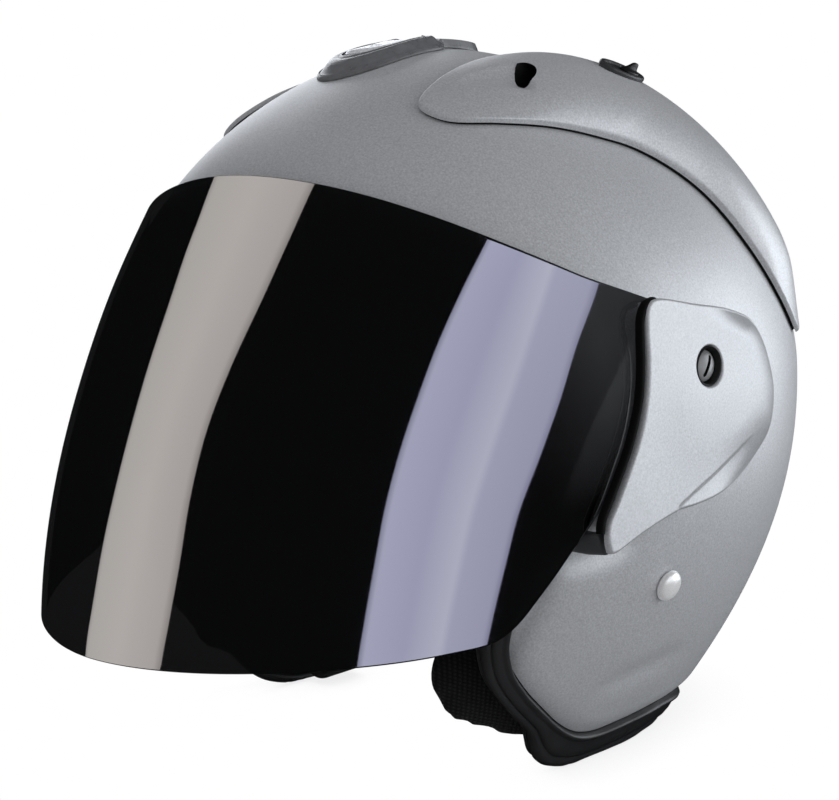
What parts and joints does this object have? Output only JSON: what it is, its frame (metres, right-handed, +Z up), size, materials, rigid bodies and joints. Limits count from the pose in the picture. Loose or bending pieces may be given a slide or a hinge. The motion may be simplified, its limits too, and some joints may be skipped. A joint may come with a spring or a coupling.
{
  "type": "open face motorcycle helmet",
  "caption": "Open face motorcycle helmet with a long smoked wrap-round shield that swings up, a crown vent, two rear air scoops, cloth lining and a ring buckle strap.",
  "frame": {"origin": "bottom centre of the whole object's box, on the plane the edge trim rests on", "axes": "+Z up, the wearer's face towards -Y, the wearer's left towards +X"},
  "size_m": [0.2656, 0.3124, 0.2638],
  "materials": {
    "silver_paint": "fine matt metallic silver grey",
    "smoke_mirror": "dark smoked, mirror gloss",
    "dark_rubber": "satin moulding",
    "eps_foam": "dark expanded foam",
    "black_mesh_cloth": "ribbed open mesh cloth over soft foam",
    "dark_plastic": "satin moulded",
    "chrome": "polished",
    "dark_steel": "blackened",
    "black_webbing": "woven band"
  },
  "bodies": {
    "helmet": {"shell": "silver_paint", "side_cover_left": "silver_paint", "side_cover_right": "silver_paint", "diffuser_left": "silver_paint", "diffuser_right": "silver_paint", "edge_trim": "dark_rubber", "cover_lip_left": "dark_rubber", "cover_lip_right": "dark_rubber", "diffuser_gasket_left": "dark_rubber", "diffuser_gasket_right": "dark_rubber", "eps_liner": "eps_foam", "crown_pad": "black_mesh_cloth", "neck_roll": "black_mesh_cloth", "cheek_pad_left": "black_mesh_cloth", "cheek_pad_right": "black_mesh_cloth", "top_vent_base": "dark_plastic", "pivot_hub_left": "dark_plastic", "pivot_hub_right": "dark_plastic", "shield_stop_left": "dark_plastic", "shield_stop_right": "dark_plastic", "diffuser_bezel_left": "dark_plastic", "diffuser_bezel_right": "dark_plastic", "strap_rivet_left": "chrome", "strap_rivet_right": "chrome", "pivot_plate_left": "dark_steel", "pivot_plate_right": "dark_steel", "cover_screw_left": "dark_steel", "cover_screw_right": "dark_steel", "strap_anchor_left": "dark_steel", "strap_anchor_right": "dark_steel", "chin_strap_left": "black_webbing", "chin_strap_right": "black_webbing"},
    "shield": {"face_shield": "smoke_mirror"},
    "vent_shutter": {"top_vent_shutter": "silver_paint"},
    "knob_left": {"diffuser_knob_left": "dark_plastic"},
    "knob_right": {"diffuser_knob_right": "dark_plastic"},
    "ring_outer": {"d_ring_outer": "chrome"},
    "ring_inner": {"d_ring_inner": "chrome"}
  },
  "joints": [
    {"name": "shield_hinge", "type": "hinge", "parent": "helmet", "child": "shield", "pos_m": [0, 0.01257, 0.145], "axis": [-1, 0, 0], "range_deg": [0, 50]},
    {"name": "vent_shutter_slide", "type": "slide", "parent": "helmet", "child": "vent_shutter", "axis": [0, 0.981, 0.1942], "range_m": [0, 0.007]},
    {"name": "diffuser_knob_slide_left", "type": "slide", "parent": "helmet", "child": "knob_left", "axis": [0.0113, -0.9775, 0.2106], "range_m": [0, 0.008]},
    {"name": "diffuser_knob_slide_right", "type": "slide", "parent": "helmet", "child": "knob_right", "axis": [-0.0113, -0.9775, 0.2106], "range_m": [0, 0.008]},
    {"name": "ring_outer_hinge", "type": "hinge", "parent": "helmet", "child": "ring_outer", "pos_m": [0.05395, 0.00407, 0.029], "axis": [0, 1, 0], "range_deg": [0, 45]},
    {"name": "ring_inner_hinge", "type": "hinge", "parent": "helmet", "child": "ring_inner", "pos_m": [0.05165, 0.00407, 0.029], "axis": [0, -1, 0], "range_deg": [0, 45]}
  ]
}
